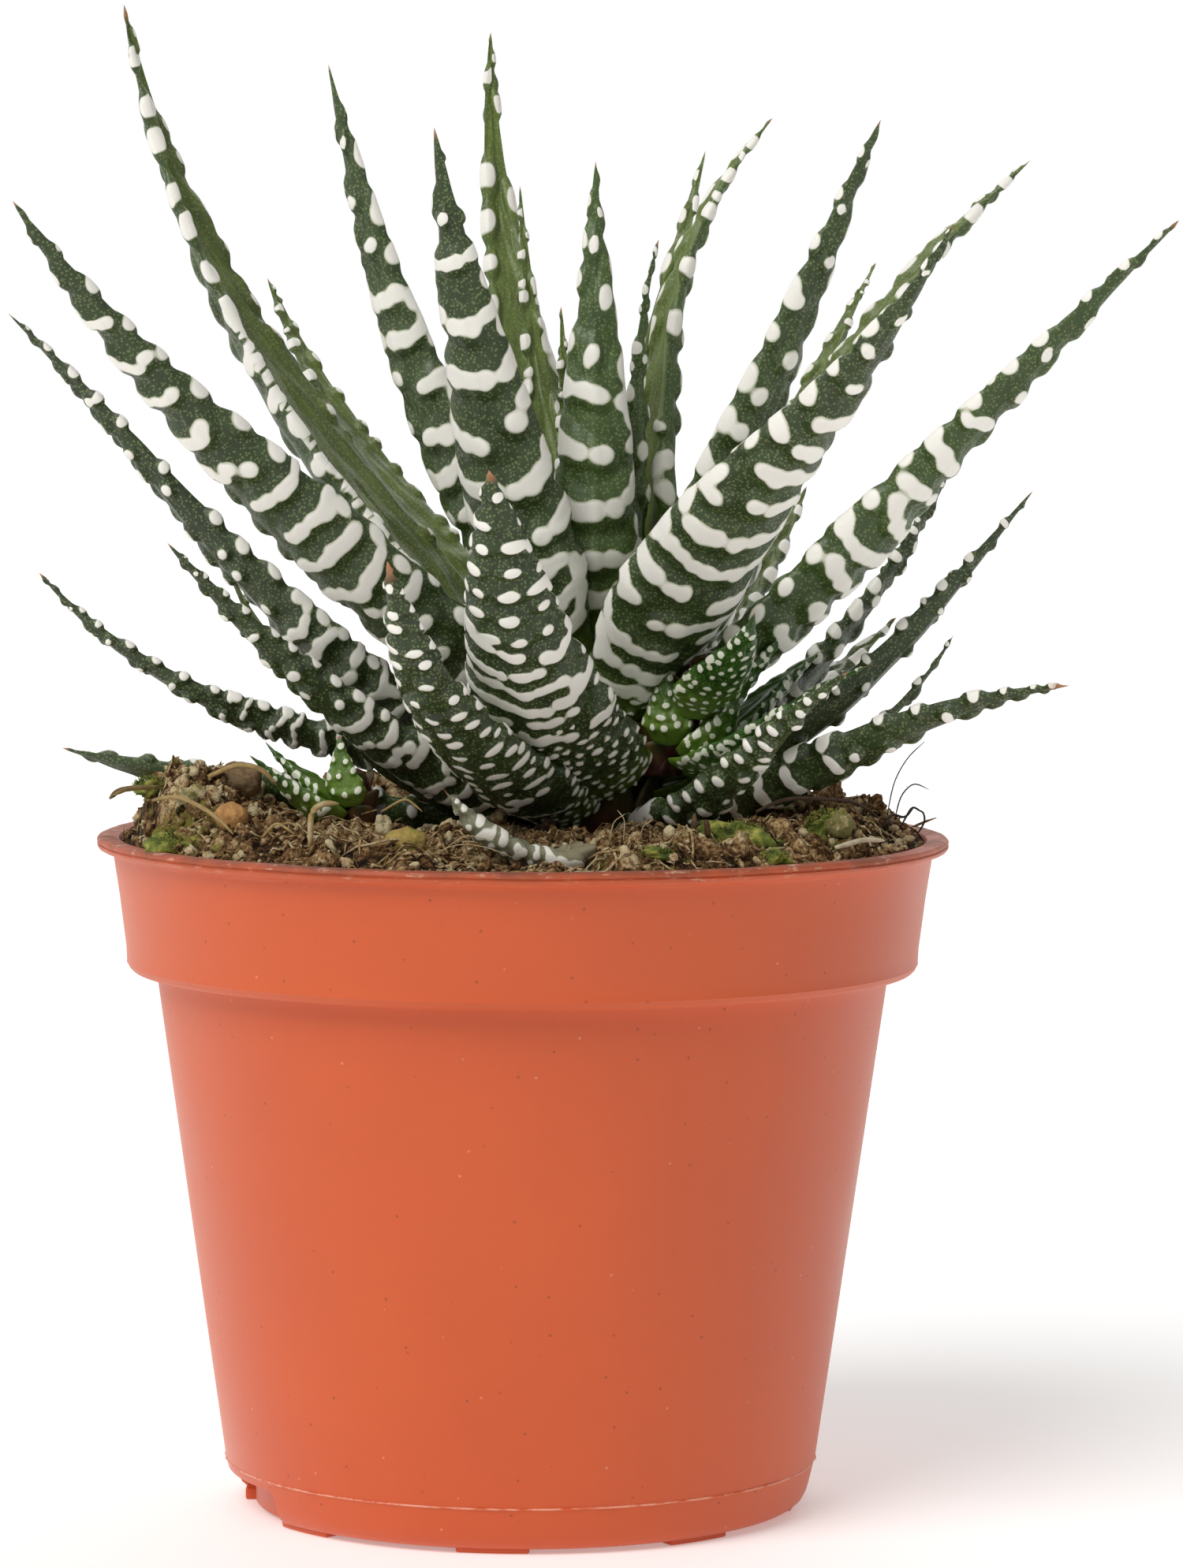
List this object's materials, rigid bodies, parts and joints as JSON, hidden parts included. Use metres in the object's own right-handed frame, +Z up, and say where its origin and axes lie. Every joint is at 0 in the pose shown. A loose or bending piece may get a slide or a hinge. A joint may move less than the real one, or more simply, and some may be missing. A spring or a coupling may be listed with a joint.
{
  "type": "potted haworthia",
  "caption": "Potted succulent: a rosette of pointed, white-banded leaves with small offsets, rooted in soil in a tapered plastic nursery pot with a collar.",
  "frame": {"origin": "on the pot's axis, in the plane the pot stands on, at the middle pad under the pot's floor", "axes": "+Z up along the pot's axis; -Y towards the front of the plant; +X to the right seen from the front"},
  "size_m": [0.1192, 0.1128, 0.159],
  "materials": {
    "terracotta_plastic": "satin moulded plastic, terracotta colour",
    "peat_soil": "matt, crumbly potting mix with clay granules and moss",
    "leaf_skin": "waxy dark green with raised white bands and dots",
    "young_leaf_skin": "waxy bright green with raised white dots",
    "withered_leaf_skin": "dull grey green, crowded with raised white dots",
    "stem_sheath": "satin reddish brown",
    "pebble": "matt"
  },
  "bodies": {
    "root": {"leaf_01": "leaf_skin", "leaf_02": "leaf_skin", "leaf_03": "leaf_skin", "leaf_04": "leaf_skin", "leaf_05": "leaf_skin", "leaf_06": "leaf_skin", "leaf_07": "leaf_skin", "leaf_08": "leaf_skin", "leaf_09": "leaf_skin", "leaf_10": "leaf_skin", "leaf_11": "leaf_skin", "leaf_12": "leaf_skin", "leaf_13": "leaf_skin", "leaf_14": "leaf_skin", "leaf_15": "leaf_skin", "leaf_16": "leaf_skin", "leaf_17": "leaf_skin", "leaf_18": "leaf_skin", "leaf_19": "leaf_skin", "leaf_20": "leaf_skin", "leaf_21": "leaf_skin", "leaf_22": "leaf_skin", "leaf_23": "leaf_skin", "leaf_24": "leaf_skin", "leaf_25": "leaf_skin", "leaf_26": "leaf_skin", "leaf_27": "leaf_skin", "leaf_28": "leaf_skin", "leaf_29": "leaf_skin", "leaf_30": "leaf_skin", "leaf_31": "leaf_skin", "leaf_32": "leaf_skin", "leaf_33": "leaf_skin", "leaf_34": "leaf_skin", "leaf_35": "leaf_skin", "leaf_36": "leaf_skin", "leaf_37": "leaf_skin", "leaf_38": "leaf_skin", "offset_leaf_1": "young_leaf_skin", "offset_leaf_2": "young_leaf_skin", "offset_leaf_3": "young_leaf_skin", "offset_leaf_4": "young_leaf_skin", "offset_leaf_5": "young_leaf_skin", "offset_leaf_6": "young_leaf_skin", "offset_leaf_7": "young_leaf_skin", "offset_stem": "stem_sheath", "pot": "terracotta_plastic", "soil": "peat_soil", "stem": "stem_sheath", "stone_brown": "pebble", "stone_green": "pebble", "stone_tan": "pebble", "withered_leaf": "withered_leaf_skin", "young_leaf_1": "young_leaf_skin", "young_leaf_2": "young_leaf_skin", "young_leaf_3": "young_leaf_skin", "young_stem": "stem_sheath"}
  },
  "joints": []
}
